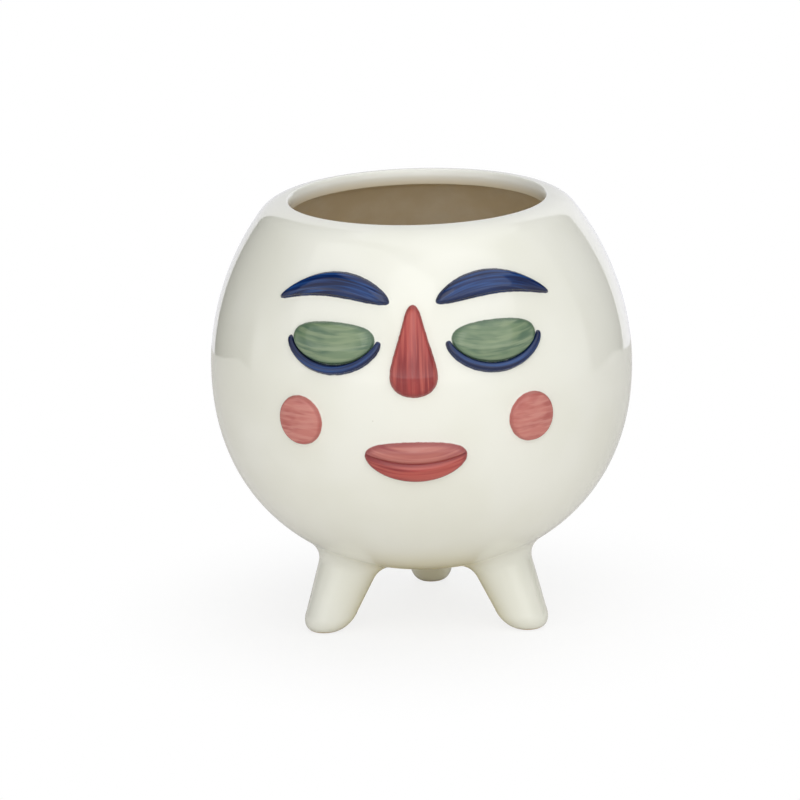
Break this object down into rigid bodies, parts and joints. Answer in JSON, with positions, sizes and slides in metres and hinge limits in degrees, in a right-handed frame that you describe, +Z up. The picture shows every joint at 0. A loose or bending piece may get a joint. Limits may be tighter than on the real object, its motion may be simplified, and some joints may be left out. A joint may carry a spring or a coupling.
{
  "type": "ceramic planter",
  "caption": "Round footed ceramic planter with a wide mouth, a smooth rolled rim, short splayed legs and a calm sleeping face in low painted relief.",
  "frame": {"origin": "on the table plane that the feet stand on, on the bowl's vertical axis", "axes": "+Z up along the bowl's axis, -Y out of the middle of the face, +X to the right of someone who looks at the face"},
  "size_m": [0.135, 0.137, 0.1379],
  "materials": {
    "cream_glaze": "glossy clear-edged cream glaze over white slip-cast earthenware",
    "navy_underglaze": "brushed navy underglaze under a clear glossy glaze",
    "sage_underglaze": "brushed sage green underglaze under a clear glossy glaze",
    "coral_underglaze": "brushed coral red underglaze under a clear glossy glaze",
    "pink_underglaze": "brushed dusty pink underglaze under a clear glossy glaze"
  },
  "bodies": {
    "root": {"bowl": "cream_glaze", "leg_rear": "cream_glaze", "leg_front_left": "cream_glaze", "leg_front_right": "cream_glaze", "brow_left": "navy_underglaze", "brow_right": "navy_underglaze", "lid_left": "sage_underglaze", "lid_right": "sage_underglaze", "lash_left": "navy_underglaze", "lash_right": "navy_underglaze", "nose": "coral_underglaze", "cheek_left": "pink_underglaze", "cheek_right": "pink_underglaze", "lips": "coral_underglaze"}
  },
  "joints": []
}
